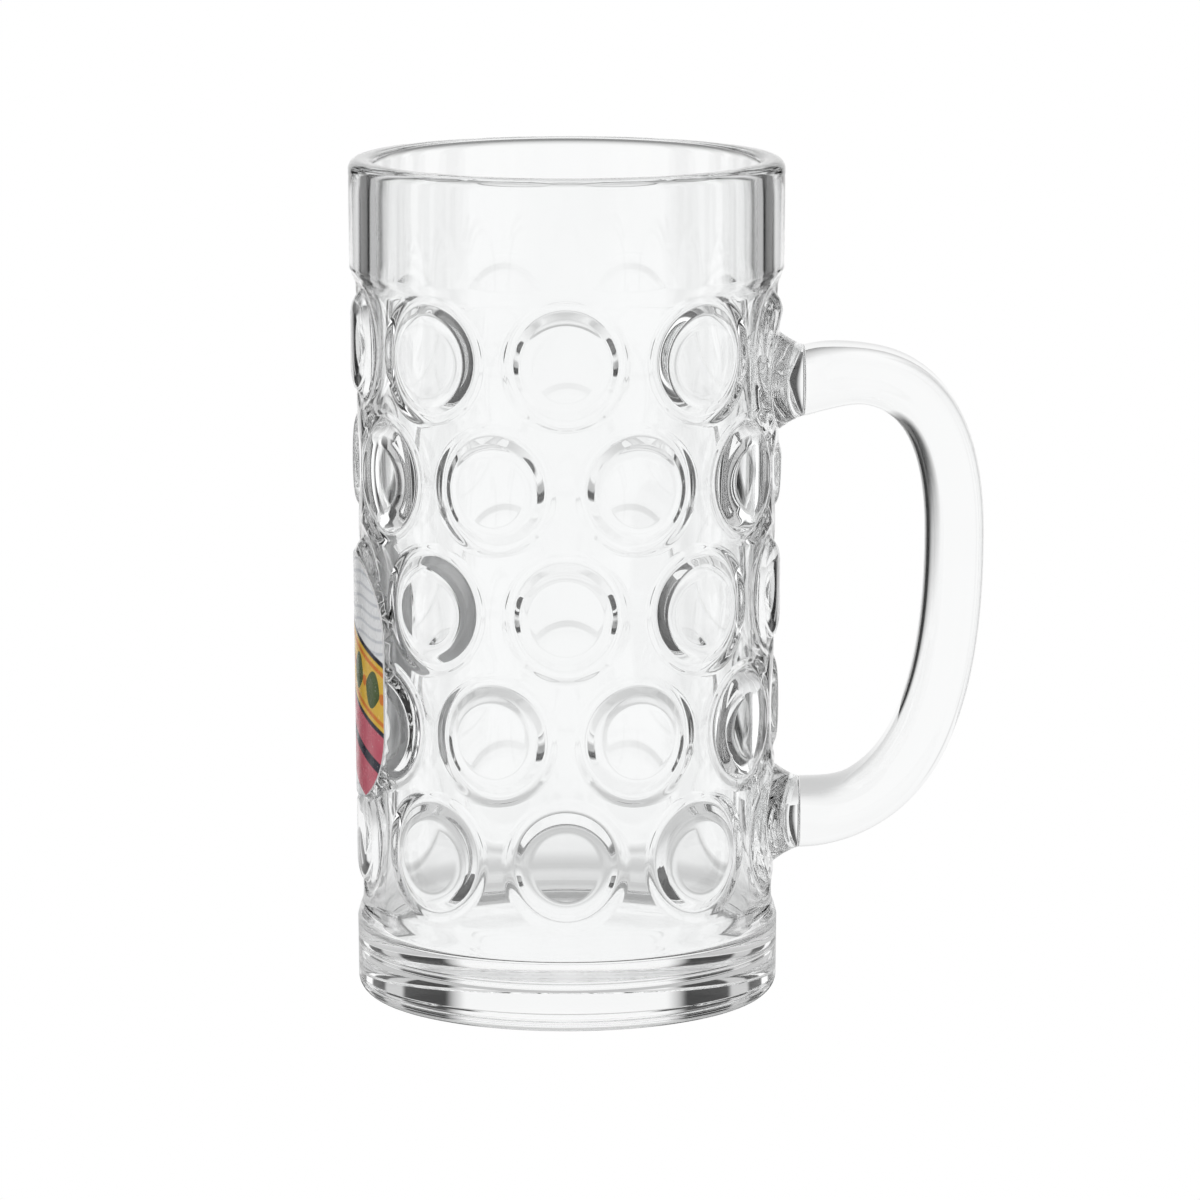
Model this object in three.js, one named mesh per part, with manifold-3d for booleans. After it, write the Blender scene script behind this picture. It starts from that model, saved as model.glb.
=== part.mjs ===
// A one-litre clear plastic beer mug with round lens bosses all over its barrel.
// Millimetres, +Z up. The origin is the middle of the underside, and the handle points along +X.
import * as THREE from 'three';
import { mergeVertices } from 'three/addons/utils/BufferGeometryUtils.js';
import Module from 'manifold-3d';

// Barrel
const HEIGHT = 200;
const RIM_RADIUS = 51.5;
const FOOT_RADIUS = 49.9;
const WALL = 6.2;
const LIP_ROUND = 2.6;
const PLAIN_TOP_BAND = 26;
const FIELD_RECESS = 0.8;
const FIELD_RAMP = 3;

// Base
const FLOOR_HEIGHT = 15.5;
const SEAM_HEIGHT = 10;
const FOOT_ROUND = 4.8;

// Lens bosses
const LENS_RADIUS = 12;
const LENS_CROWN = 0.4;
const LENS_EDGE = 0.35;
const LENS_SKIRT = 0.8;
const LENSES_PER_ROW = 9;
const LOWEST_ROW_HEIGHT = 39.6;
const ROW_PITCH = 29.3;

// Handle and its two roots on the barrel
const UPPER_ROOT_HEIGHT = 147.1;
const LOWER_ROOT_HEIGHT = 43.2;
const ROOT_REACH = 5;
const ROOT_FLARE = 5.2;
const ROOT_FLARE_REACH = 1.25;
const ROOT_SHOULDER = 1.4;
const BAR_THICKNESS = 14;
const BAR_DEPTH = 24;
const BAR_CORNER = 3;
const GRIP_REACH = 35.7;
const GRIP_HEIGHT = 110;
const SHOULDER_RISE = 5.9;
const SHOULDER_START_DIP = 1.475;
// Fullness of the bar's two bends: how far the curve's handles reach along each leg and along the grip.
const SHOULDER_LEG_FULLNESS = 0.66;
const SHOULDER_GRIP_FULLNESS = 0.84;
const ELBOW_LEG_FULLNESS = 0.77;
const ELBOW_GRIP_FULLNESS = 0.53;
const TENON_RADIUS = 4.5;
const TENON_LENGTH = 6.5;

// Badge film on the side away from the handle
const BADGE_WIDTH = 56;
const BADGE_HEIGHT = 57;
const BADGE_CORNER = 18;
const BADGE_CENTRE_HEIGHT = 77.5;
const BADGE_THICKNESS = 0.6;

// Clearances
const BOND_GAP = 0.3;
const BADGE_EDGE_GAP = 0.6;
const OVERSHOOT = 5;

// Fineness
const MERGE_TOLERANCE = 1e-4;
const ROUND_STEPS = 72;
const CORNER_STEPS = 5;
const LENS_STEPS = 12;
const LENS_RINGS = 2;
const ROOT_STEPS = 28;
const TENON_STEPS = 24;
const BAR_STEPS = 32;
const BAR_ARC_STEPS = 4;

const wasm = await Module();
wasm.setup();

// Outside radius of the barrel's straight envelope, which the lens crowns reach.
function envelopeRadius(z) {
  return FOOT_RADIUS + (RIM_RADIUS - FOOT_RADIUS) * (z / HEIGHT);
}

// Radius of the recessed field that the lens bosses stand on.
function fieldRadius(z) {
  return envelopeRadius(z) - FIELD_RECESS;
}

// Inside radius of the barrel.
function cavityRadius(z) {
  return envelopeRadius(z) - WALL;
}

// Turns a closed three.js geometry into a solid that can be joined and cut.
function toSolid(geometry) {
  const bare = geometry.index ? geometry.toNonIndexed() : geometry.clone();
  bare.deleteAttribute('normal');
  bare.deleteAttribute('uv');
  const merged = mergeVertices(bare, MERGE_TOLERANCE);
  const index = merged.index.array;
  const triangles = [];
  for (let i = 0; i < index.length; i += 3) {
    const [a, b, c] = [index[i], index[i + 1], index[i + 2]];
    if (a !== b && b !== c && c !== a) {
      triangles.push(a, b, c);
    }
  }
  return new wasm.Manifold(new wasm.Mesh({
    numProp: 3,
    vertProperties: new Float32Array(merged.attributes.position.array),
    triVerts: new Uint32Array(triangles),
  }));
}

// Turns a solid back into a geometry that a mesh can hold.
function toGeometry(solid) {
  const { vertProperties, triVerts } = solid.getMesh();
  const geometry = new THREE.BufferGeometry();
  geometry.setAttribute('position', new THREE.BufferAttribute(new Float32Array(vertProperties), 3));
  geometry.setIndex(new THREE.BufferAttribute(new Uint32Array(triVerts), 1));
  geometry.computeVertexNormals();
  return geometry;
}

// Points of an arc in the radius-height plane, angles in degrees.
function arcPoints(centreRadius, centreHeight, radius, fromDegrees, toDegrees) {
  const points = [];
  for (let i = 0; i <= CORNER_STEPS; i += 1) {
    const angle = THREE.MathUtils.degToRad(fromDegrees + ((toDegrees - fromDegrees) * i) / CORNER_STEPS);
    points.push(new THREE.Vector2(
      centreRadius + radius * Math.cos(angle),
      centreHeight + radius * Math.sin(angle),
    ));
  }
  return points;
}

// A solid of revolution about the Z axis, from a profile of radius and height.
function turned(profile) {
  const geometry = new THREE.LatheGeometry(profile, ROUND_STEPS);
  geometry.rotateX(Math.PI / 2);
  return toSolid(geometry);
}

// Closes a profile that doesn't meet the axis.
function closedProfile(points) {
  return [...points, points[0].clone()];
}

// The wall: plain at the lip and at the foot, and recessed between them for the lens bosses.
function wallSolid() {
  const bottom = SEAM_HEIGHT + BOND_GAP;
  const fieldTop = HEIGHT - PLAIN_TOP_BAND;
  const fieldBottom = FLOOR_HEIGHT + FIELD_RAMP;
  const lipRound = Math.min(LIP_ROUND, WALL / 2);
  const lipHeight = HEIGHT - lipRound;
  const outside = [
    new THREE.Vector2(envelopeRadius(bottom), bottom),
    new THREE.Vector2(envelopeRadius(fieldBottom), fieldBottom),
    new THREE.Vector2(fieldRadius(fieldBottom + FIELD_RAMP), fieldBottom + FIELD_RAMP),
    new THREE.Vector2(fieldRadius(fieldTop - FIELD_RAMP), fieldTop - FIELD_RAMP),
    new THREE.Vector2(envelopeRadius(fieldTop), fieldTop),
  ];
  const lip = [
    ...arcPoints(RIM_RADIUS - lipRound, lipHeight, lipRound, 0, 90),
    ...arcPoints(RIM_RADIUS - WALL + lipRound, lipHeight, lipRound, 90, 180),
  ];
  const inside = [new THREE.Vector2(cavityRadius(bottom), bottom)];
  return turned(closedProfile([...outside, ...lip, ...inside]));
}

// One lens boss, bent round the barrel. Its skirt ends inside the wall.
function lensSolid(angle, height) {
  const profile = [
    new THREE.Vector2(0, -LENS_SKIRT),
    new THREE.Vector2(LENS_RADIUS + LENS_EDGE, -LENS_SKIRT),
  ];
  for (let i = LENS_RINGS; i >= 0; i -= 1) {
    const share = i / LENS_RINGS;
    profile.push(new THREE.Vector2(LENS_RADIUS * share, LENS_EDGE + LENS_CROWN * (1 - share * share)));
  }
  const geometry = new THREE.LatheGeometry(profile, LENS_STEPS);
  const position = geometry.attributes.position;
  const rowRadius = fieldRadius(height);
  for (let i = 0; i < position.count; i += 1) {
    const z = height - position.getZ(i);
    const turn = angle + position.getX(i) / rowRadius;
    const radius = fieldRadius(z) + position.getY(i);
    position.setXYZ(i, radius * Math.cos(turn), radius * Math.sin(turn), z);
  }
  return toSolid(geometry);
}

// Rows of lens bosses, every other row turned by half a pitch, as many as the recessed field takes.
function lensSolids() {
  const solids = [];
  const pitch = (2 * Math.PI) / LENSES_PER_ROW;
  const highest = HEIGHT - PLAIN_TOP_BAND - FIELD_RAMP - LENS_RADIUS;
  const rows = Math.floor((highest - LOWEST_ROW_HEIGHT) / ROW_PITCH) + 1;
  for (let row = 0; row < rows; row += 1) {
    const start = -Math.PI / 2 + (row % 2) * (pitch / 2);
    for (let i = 0; i < LENSES_PER_ROW; i += 1) {
      solids.push(lensSolid(start + i * pitch, LOWEST_ROW_HEIGHT + row * ROW_PITCH));
    }
  }
  return solids;
}

// The plane where a root ends and the handle begins.
function rootFace(height) {
  return envelopeRadius(height) + ROOT_REACH;
}

// A flared root, from the middle of the wall out to its face, a shoulder wider there than the bar.
function rootSolid(height) {
  const inner = cavityRadius(height) + WALL / 2;
  const outer = envelopeRadius(height);
  const face = rootFace(height);
  const half = BAR_THICKNESS / 2;
  const profile = [
    new THREE.Vector2(0, inner),
    new THREE.Vector2(half + ROOT_FLARE, inner),
    new THREE.Vector2(half + ROOT_FLARE, outer),
    new THREE.Vector2(half + (ROOT_FLARE + ROOT_SHOULDER) / 2, outer + ROOT_FLARE_REACH),
    new THREE.Vector2(half + ROOT_SHOULDER, face),
    new THREE.Vector2(0, face),
  ];
  const geometry = new THREE.LatheGeometry(profile, ROOT_STEPS);
  geometry.rotateZ(-Math.PI / 2);
  geometry.scale(1, 1, BAR_DEPTH / BAR_THICKNESS);
  geometry.rotateX(Math.PI / 2);
  geometry.translate(0, 0, height);
  return toSolid(geometry);
}

// A round bar along +X, for the tenons and their sockets.
function roundBar(radius, fromX, toX, height) {
  const geometry = new THREE.CylinderGeometry(radius, radius, toX - fromX, TENON_STEPS);
  geometry.rotateZ(-Math.PI / 2);
  geometry.translate((fromX + toX) / 2, 0, height);
  return toSolid(geometry);
}

// The socket of a root, a bond gap larger than the tenon that it takes.
function socketSolid(height) {
  const face = rootFace(height);
  return roundBar(TENON_RADIUS + BOND_GAP, face - TENON_LENGTH, face + OVERSHOOT, height);
}

// A conical sheet that follows the barrel, between two depths under its envelope.
function envelopeSheet(outerDepth, innerDepth) {
  const low = BADGE_CENTRE_HEIGHT - BADGE_HEIGHT;
  const high = BADGE_CENTRE_HEIGHT + BADGE_HEIGHT;
  return turned(closedProfile([
    new THREE.Vector2(envelopeRadius(low) - innerDepth, low),
    new THREE.Vector2(envelopeRadius(low) - outerDepth, low),
    new THREE.Vector2(envelopeRadius(high) - outerDepth, high),
    new THREE.Vector2(envelopeRadius(high) - innerDepth, high),
  ]));
}

// A prism of the badge's outline, grown by a margin. It reaches from the axis out past the barrel along -X.
function badgePrism(margin) {
  const width = BADGE_WIDTH / 2 + margin;
  const height = BADGE_HEIGHT / 2 + margin;
  const corner = BADGE_CORNER + margin;
  const outline = new THREE.Shape();
  outline.absarc(width - corner, height - corner, corner, 0, Math.PI / 2);
  outline.absarc(corner - width, height - corner, corner, Math.PI / 2, Math.PI);
  outline.absarc(corner - width, corner - height, corner, Math.PI, 1.5 * Math.PI);
  outline.absarc(width - corner, corner - height, corner, 1.5 * Math.PI, 2 * Math.PI);
  const geometry = new THREE.ExtrudeGeometry(outline, {
    depth: RIM_RADIUS + FOOT_RADIUS,
    bevelEnabled: false,
    curveSegments: CORNER_STEPS,
  });
  geometry.rotateX(Math.PI / 2);
  geometry.rotateZ(-Math.PI / 2);
  geometry.translate(0, 0, BADGE_CENTRE_HEIGHT);
  return toSolid(geometry);
}

// The badge film, flush with the lens crowns, over its pocket.
function badgeSolid() {
  return envelopeSheet(0, BADGE_THICKNESS).intersect(badgePrism(0));
}

// The pocket that the badge film lies in. It also trims the lens bosses beside the film.
function badgePocket() {
  return envelopeSheet(-OVERSHOOT, BADGE_THICKNESS + BOND_GAP).intersect(badgePrism(BADGE_EDGE_GAP));
}

// The barrel, with its lens bosses and roots joined on and its sockets and badge pocket cut.
function barrelSolid() {
  let barrel = wallSolid();
  for (const lens of lensSolids()) {
    barrel = barrel.add(lens);
  }
  barrel = barrel.subtract(badgePocket());
  for (const height of [UPPER_ROOT_HEIGHT, LOWER_ROOT_HEIGHT]) {
    barrel = barrel.add(rootSolid(height)).subtract(socketSolid(height));
  }
  return barrel;
}

// The base: a thick foot with a spigot that plugs the barrel and makes the cavity's floor.
function baseSolid() {
  const spigotLow = cavityRadius(SEAM_HEIGHT) - BOND_GAP;
  const spigotHigh = cavityRadius(FLOOR_HEIGHT) - BOND_GAP;
  return turned([
    new THREE.Vector2(0, 0),
    ...arcPoints(envelopeRadius(FOOT_ROUND) - FOOT_ROUND, FOOT_ROUND, FOOT_ROUND, -90, 0),
    new THREE.Vector2(envelopeRadius(SEAM_HEIGHT), SEAM_HEIGHT),
    new THREE.Vector2(spigotLow, SEAM_HEIGHT),
    new THREE.Vector2(spigotHigh, FLOOR_HEIGHT),
    new THREE.Vector2(0, FLOOR_HEIGHT),
  ]);
}

// The bar's section: flat with round corners on the outside of the grip, domed towards the barrel.
function barSection() {
  const thick = BAR_THICKNESS / 2;
  const deep = BAR_DEPTH / 2;
  const section = new THREE.Shape();
  section.absarc(BAR_CORNER - deep, BAR_CORNER - thick, BAR_CORNER, Math.PI, 1.5 * Math.PI);
  section.absarc(deep - BAR_CORNER, BAR_CORNER - thick, BAR_CORNER, 1.5 * Math.PI, 2 * Math.PI);
  section.absellipse(0, 0, deep, thick, 0, Math.PI);
  return section;
}

// The middle line of the bar, from inside the upper root out to the grip and back into the lower root.
function barPath() {
  const upperFace = rootFace(UPPER_ROOT_HEIGHT);
  const lowerFace = rootFace(LOWER_ROOT_HEIGHT);
  const gripX = Math.max(upperFace, lowerFace) + GRIP_REACH;
  const shoulder = (UPPER_ROOT_HEIGHT - GRIP_HEIGHT) * SHOULDER_GRIP_FULLNESS;
  const elbow = (GRIP_HEIGHT - LOWER_ROOT_HEIGHT) * ELBOW_GRIP_FULLNESS;
  const grip = new THREE.Vector3(gripX, 0, GRIP_HEIGHT);
  const path = new THREE.CurvePath();
  path.add(new THREE.CubicBezierCurve3(
    new THREE.Vector3(upperFace - OVERSHOOT, 0, UPPER_ROOT_HEIGHT - SHOULDER_START_DIP),
    new THREE.Vector3(upperFace + GRIP_REACH * SHOULDER_LEG_FULLNESS, 0, UPPER_ROOT_HEIGHT + SHOULDER_RISE),
    new THREE.Vector3(gripX, 0, GRIP_HEIGHT + shoulder),
    grip,
  ));
  path.add(new THREE.CubicBezierCurve3(
    grip.clone(),
    new THREE.Vector3(gripX, 0, GRIP_HEIGHT - elbow),
    new THREE.Vector3(lowerFace + GRIP_REACH * ELBOW_LEG_FULLNESS, 0, LOWER_ROOT_HEIGHT),
    new THREE.Vector3(lowerFace - OVERSHOOT, 0, LOWER_ROOT_HEIGHT),
  ));
  return path;
}

// Everything on the barrel's side of the planes where the handle's ends meet the roots.
function endTrim(height) {
  const reach = 2 * BAR_DEPTH;
  const geometry = new THREE.BoxGeometry(reach, reach, reach);
  geometry.translate(rootFace(height) + BOND_GAP - reach / 2, 0, height);
  return toSolid(geometry);
}

// The handle, a bent bar with square-cut ends and a tenon on each.
function handleSolid() {
  const geometry = new THREE.ExtrudeGeometry(barSection(), {
    steps: BAR_STEPS,
    extrudePath: barPath(),
    curveSegments: BAR_ARC_STEPS,
  });
  let handle = toSolid(geometry);
  for (const height of [UPPER_ROOT_HEIGHT, LOWER_ROOT_HEIGHT]) {
    const face = rootFace(height);
    const tenon = roundBar(TENON_RADIUS, face - TENON_LENGTH + BOND_GAP, face + OVERSHOOT, height);
    handle = handle.subtract(endTrim(height)).add(tenon);
  }
  return handle;
}

// A named mesh with its own material.
function piece(name, solid, look) {
  const mesh = new THREE.Mesh(toGeometry(solid), new THREE.MeshStandardMaterial(look));
  mesh.name = name;
  return mesh;
}

const CLEAR_PLASTIC = { color: 0xf4f7f7, roughness: 0.05, metalness: 0, transparent: true, opacity: 0.3 };
const PRINTED_FILM = { color: 0xd8a52a, roughness: 0.35, metalness: 0 };

const mug = new THREE.Group();
mug.add(piece('barrel', barrelSolid(), CLEAR_PLASTIC));
mug.add(piece('base', baseSolid(), CLEAR_PLASTIC));
mug.add(piece('handle', handleSolid(), CLEAR_PLASTIC));
mug.add(piece('badge', badgeSolid(), PRINTED_FILM));

export default mug;
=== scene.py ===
"""Looks of a clear plastic beer mug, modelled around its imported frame.

Metres, +Z up. The origin is the middle of the underside, the handle points along +X and the
printed film lies on the side along -X. The camera looks along +Y.
"""
import logging
import math
from dataclasses import dataclass
from enum import Enum

import bpy
import numpy as np
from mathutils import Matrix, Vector
from mathutils.geometry import delaunay_2d_cdt


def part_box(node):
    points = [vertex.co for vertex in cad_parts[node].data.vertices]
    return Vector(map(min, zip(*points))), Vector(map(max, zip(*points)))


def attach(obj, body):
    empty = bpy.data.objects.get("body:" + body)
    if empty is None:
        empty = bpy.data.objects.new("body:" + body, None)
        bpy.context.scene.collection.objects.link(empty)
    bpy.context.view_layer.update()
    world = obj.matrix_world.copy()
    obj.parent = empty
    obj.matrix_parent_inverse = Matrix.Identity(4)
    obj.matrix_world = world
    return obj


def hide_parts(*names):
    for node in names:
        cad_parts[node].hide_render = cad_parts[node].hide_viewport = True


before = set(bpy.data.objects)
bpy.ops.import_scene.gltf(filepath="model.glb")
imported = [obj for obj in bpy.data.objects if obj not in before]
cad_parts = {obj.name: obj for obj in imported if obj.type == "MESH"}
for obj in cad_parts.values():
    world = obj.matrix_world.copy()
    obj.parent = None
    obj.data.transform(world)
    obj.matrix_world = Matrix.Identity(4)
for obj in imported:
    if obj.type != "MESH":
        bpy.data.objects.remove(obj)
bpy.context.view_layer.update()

MM = 0.001
TURN = 2 * math.pi
DEGREES = 180 / math.pi
SIDE_RANGE = (0, 180)
RISE_RANGE = (-90, 90)
MERGE_DISTANCE = 0.001 * MM
SEAM_HEIGHT = 10.0 * MM
SEAM_TOLERANCE = 0.01 * MM
WHITE = (1.0, 1.0, 1.0, 1.0)
LOG = logging.getLogger("mug")


class Root(Enum):
    """The two places where the handle joins the barrel, by the height of their middle."""

    UPPER = 147.1 * MM
    LOWER = 43.2 * MM


class Value:
    """A shader socket that takes part in Python arithmetic."""

    def __init__(self, graph: "Graph", socket: bpy.types.NodeSocket) -> None:
        """Wraps one output socket of a graph."""
        self.graph = graph
        self.socket = socket

    def _math(self, operation: str, *inputs: "Value | float") -> "Value":
        """Adds one Math node and wraps its result."""
        return self.graph.node("ShaderNodeMath", {"operation": operation}, dict(enumerate(inputs)))

    def __add__(self, other: "Value | float") -> "Value":
        """Adds."""
        return self._math("ADD", self, other)

    __radd__ = __add__

    def __sub__(self, other: "Value | float") -> "Value":
        """Subtracts."""
        return self._math("SUBTRACT", self, other)

    def __rsub__(self, other: float) -> "Value":
        """Subtracts from a number."""
        return self._math("SUBTRACT", other, self)

    def __mul__(self, other: "Value | float") -> "Value":
        """Multiplies."""
        return self._math("MULTIPLY", self, other)

    __rmul__ = __mul__

    def __truediv__(self, other: "Value | float") -> "Value":
        """Divides."""
        return self._math("DIVIDE", self, other)

    def __pow__(self, other: float) -> "Value":
        """Raises to a power."""
        return self._math("POWER", self, other)

    def __abs__(self) -> "Value":
        """Drops the sign."""
        return self._math("ABSOLUTE", self)

    def root(self) -> "Value":
        """Takes the square root."""
        return self._math("SQRT", self)

    def fold(self, reach: float) -> "Value":
        """Folds to and fro between 0 and a reach."""
        return self._math("PINGPONG", self, reach)

    def sine(self) -> "Value":
        """Takes the sine."""
        return self._math("SINE", self)

    def angle_over(self, other: "Value") -> "Value":
        """Gives the angle whose tangent is this value over the other."""
        return self._math("ARCTAN2", self, other)

    def angle_from_level(self) -> "Value":
        """Gives the angle whose sine is this value."""
        return self._math("ARCSINE", self)

    def ramp(self, low: float, high: float, out_low: float = 0.0, out_high: float = 1.0) -> "Value":
        """Maps a range smoothly onto another and clamps it.

        Args:
            low: Value where the result is out_low.
            high: Value where the result is out_high.
            out_low: Result at and before low.
            out_high: Result at and after high.

        Returns:
            The mapped value.
        """
        settings = {"interpolation_type": "SMOOTHSTEP", "clamp": True}
        sockets = {
            "Value": self, "From Min": low, "From Max": high, "To Min": out_low, "To Max": out_high,
        }
        return self.graph.node("ShaderNodeMapRange", settings, sockets)


class Graph:
    """A node tree that is filled from code."""

    def __init__(self, tree: bpy.types.NodeTree) -> None:
        """Empties the tree."""
        self.tree = tree
        tree.nodes.clear()

    def node(self, kind: str, settings: dict | None = None, inputs: dict | None = None,
             output: int | str = 0) -> Value | None:
        """Adds a node.

        Args:
            kind: The node's type.
            settings: Attributes of the node, set first; "stops" holds a colour ramp's stops.
            inputs: Values or links by socket name or number.
            output: The output socket to wrap.

        Returns:
            The wrapped output, or None for a node that has none.
        """
        node = self.tree.nodes.new(kind)
        for name, setting in (settings or {}).items():
            if name == "stops":
                self._set_stops(node.color_ramp.elements, setting)
            else:
                setattr(node, name, setting)
        for key, value in (inputs or {}).items():
            if isinstance(value, Value):
                self.tree.links.new(value.socket, node.inputs[key])
            else:
                node.inputs[key].default_value = value
        return Value(self, node.outputs[output]) if len(node.outputs) else None

    @staticmethod
    def _set_stops(elements: bpy.types.ColorRampElements, stops: list[tuple[float, tuple]]) -> None:
        """Sets a colour ramp's stops.

        Args:
            elements: The ramp's elements.
            stops: Pairs of a position and a colour, in rising order.
        """
        while len(elements) < len(stops):
            elements.new(1.0)
        for element, (position, colour) in zip(elements, stops):
            element.position = position
            element.color = colour

    def table(self, value: Value, levels: tuple, low: float, high: float) -> Value:
        """Looks a value up in a table.

        Args:
            value: The value to look up.
            levels: Pairs of a value and its level, in rising order.
            low: The least value.
            high: The greatest value.

        Returns:
            The level, with straight runs between the pairs.
        """
        span = high - low
        stops = [((at - low) / span, (level, level, level, 1.0)) for at, level in levels]
        return self.node("ShaderNodeValToRGB", {"stops": stops}, {"Fac": (value - low) / span})

    def mix(self, share: Value, first: "Value | tuple", second: "Value | tuple") -> Value:
        """Mixes two colours."""
        sockets = {0: share, 6: first, 7: second}
        return self.node("ShaderNodeMix", {"data_type": "RGBA"}, sockets, output=2)

    def noise(self, scale: float, detail: float = 2.0) -> Value:
        """Gives smooth noise on the piece's own coordinates."""
        sockets = {"Vector": self.place(), "Scale": scale, "Detail": detail}
        return self.node("ShaderNodeTexNoise", {}, sockets)

    def place(self) -> Value:
        """Gives the piece's own coordinates."""
        return self.node("ShaderNodeTexCoord", output="Object")

    def axes(self, vector: Value) -> tuple[Value, Value, Value]:
        """Splits a vector into its three axes."""
        first = self.node("ShaderNodeSeparateXYZ", {}, {0: vector})
        return tuple(Value(self, socket) for socket in first.socket.node.outputs)

    def white_when_seen(self, level: Value) -> Value:
        """Keeps a level for light, and makes it 1 where the camera sees it straight."""
        seen = self.node("ShaderNodeLightPath", output="Is Camera Ray")
        return level * (1 - seen) + seen

    def surface(self, shader: Value) -> None:
        """Ends a material with its shader."""
        self.node("ShaderNodeOutputMaterial", {}, {"Surface": shader})


def new_graph(name: str) -> tuple[bpy.types.Material, Graph]:
    """Makes a material.

    Args:
        name: Name of the new material.

    Returns:
        The material and the graph that fills it.
    """
    material = bpy.data.materials.new(name)
    material.use_nodes = True
    return material, Graph(material.node_tree)


@dataclass(frozen=True)
class ClearPlastic:
    """Polished clear plastic."""

    name: str
    index: float = 1.5
    haze: float = 0.012
    tint: tuple = (0.985, 0.99, 0.99, 1.0)
    smear_tint: tuple = (0.97, 0.975, 0.975, 1.0)
    smear_scale: float = 35.0
    smear_range: tuple = (0.45, 0.75)
    scuff_scale: float = 220.0
    scuff_detail: float = 3.0
    scuff_range: tuple = (0.55, 0.8)

    def make(self) -> bpy.types.Material:
        """Builds the material.

        Returns:
            The new material.
        """
        material, graph = new_graph(self.name)
        smear = graph.noise(self.smear_scale).ramp(*self.smear_range)
        scuff = graph.noise(self.scuff_scale, self.scuff_detail).ramp(*self.scuff_range)
        shader = graph.node("ShaderNodeBsdfPrincipled", {}, {
            "Base Color": graph.mix(smear, self.tint, self.smear_tint),
            "Roughness": (smear + scuff) * self.haze,
            "IOR": self.index,
            "Transmission Weight": 1.0,
        })
        graph.surface(shader)
        return material


@dataclass(frozen=True)
class ClearWeld:
    """The joint between two clear pieces, through which light runs on unbent."""

    name: str = "clear_weld"

    def make(self) -> bpy.types.Material:
        """Builds the material.

        Returns:
            The new material.
        """
        material, graph = new_graph(self.name)
        graph.surface(graph.node("ShaderNodeBsdfTransparent"))
        return material


def deselect_all() -> None:
    """Leaves edit mode and deselects every object."""
    if bpy.context.object and bpy.context.object.mode != "OBJECT":
        bpy.ops.object.mode_set(mode="OBJECT")
    bpy.ops.object.select_all(action="DESELECT")


def pick(*pieces: bpy.types.Object) -> None:
    """Selects some pieces alone and makes the first one active.

    Args:
        pieces: The pieces to select.
    """
    deselect_all()
    for piece in pieces:
        piece.select_set(True)
    bpy.context.view_layer.objects.active = pieces[0]


def close_mesh(piece: bpy.types.Object) -> None:
    """Merges the doubles of a finished shape and turns its faces outwards.

    Args:
        piece: The mesh object, whose points lie in place.
    """
    bpy.context.view_layer.objects.active = piece
    bpy.ops.object.mode_set(mode="EDIT")
    bpy.ops.mesh.select_all(action="SELECT")
    bpy.ops.mesh.remove_doubles(threshold=MERGE_DISTANCE)
    bpy.ops.mesh.normals_make_consistent(inside=False)
    bpy.ops.object.mode_set(mode="OBJECT")


def spun(name: str, profile: np.ndarray, steps: int) -> bpy.types.Object:
    """Spins a closed section about the Z axis.

    Args:
        name: Name of the new object.
        profile: Radius and height of each point, in order. An edge on the axis is left out.
        steps: Number of steps of the full turn.

    Returns:
        The closed mesh object.
    """
    deselect_all()
    bpy.ops.mesh.primitive_circle_add(vertices=len(profile), radius=1.0, fill_type="NOTHING")
    piece = bpy.context.object
    piece.name = piece.data.name = name
    places = np.column_stack([profile[:, 0], np.zeros(len(profile)), profile[:, 1]])
    piece.data.vertices.foreach_set("co", places.ravel())
    for edge in piece.data.edges:
        edge.select = bool(np.all(profile[list(edge.vertices), 0] == 0))
    for vertex in piece.data.vertices:
        vertex.select = False
    on_axis = any(edge.select for edge in piece.data.edges)
    bpy.ops.object.mode_set(mode="EDIT")
    bpy.ops.mesh.select_mode(type="EDGE")
    if on_axis:
        bpy.ops.mesh.delete(type="EDGE")
    bpy.ops.mesh.select_mode(type="VERT")
    bpy.ops.mesh.select_all(action="SELECT")
    bpy.ops.mesh.spin(steps=steps, angle=TURN, center=(0, 0, 0), axis=(0, 0, 1))
    bpy.ops.object.mode_set(mode="OBJECT")
    close_mesh(piece)
    return piece


def rolled(name: str, rings: np.ndarray, capped: bool) -> bpy.types.Object:
    """Rolls a grid into a tube of rings.

    Args:
        name: Name of the new object.
        rings: Points of each ring, by ring, point and axis.
        capped: Whether the two ends are closed with faces.

    Returns:
        The mesh object.
    """
    deselect_all()
    count, around = rings.shape[:2]
    bpy.ops.mesh.primitive_grid_add(x_subdivisions=around, y_subdivisions=count - 1, size=1.0)
    piece = bpy.context.object
    piece.name = piece.data.name = name
    wrapped = np.concatenate([rings, rings[:, :1]], axis=1)
    piece.data.vertices.foreach_set("co", wrapped.reshape(-1))
    bpy.ops.object.mode_set(mode="EDIT")
    bpy.ops.mesh.select_all(action="SELECT")
    bpy.ops.mesh.remove_doubles(threshold=MERGE_DISTANCE)
    if capped:
        bpy.ops.mesh.select_mode(type="EDGE")
        bpy.ops.mesh.select_all(action="DESELECT")
        bpy.ops.mesh.select_non_manifold(extend=False, use_boundary=True)
        bpy.ops.mesh.fill_holes(sides=0)
    bpy.ops.object.mode_set(mode="OBJECT")
    close_mesh(piece)
    return piece


def apply_modifier(piece: bpy.types.Object, kind: str, **settings: object) -> None:
    """Adds a modifier, sets it up and applies it.

    Args:
        piece: The mesh object to change.
        kind: The modifier's type.
        settings: Attributes of the modifier.
    """
    pick(piece)
    modifier = piece.modifiers.new(kind.lower(), kind)
    for key, value in settings.items():
        setattr(modifier, key, value)
    bpy.ops.object.modifier_apply(modifier=modifier.name)


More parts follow.
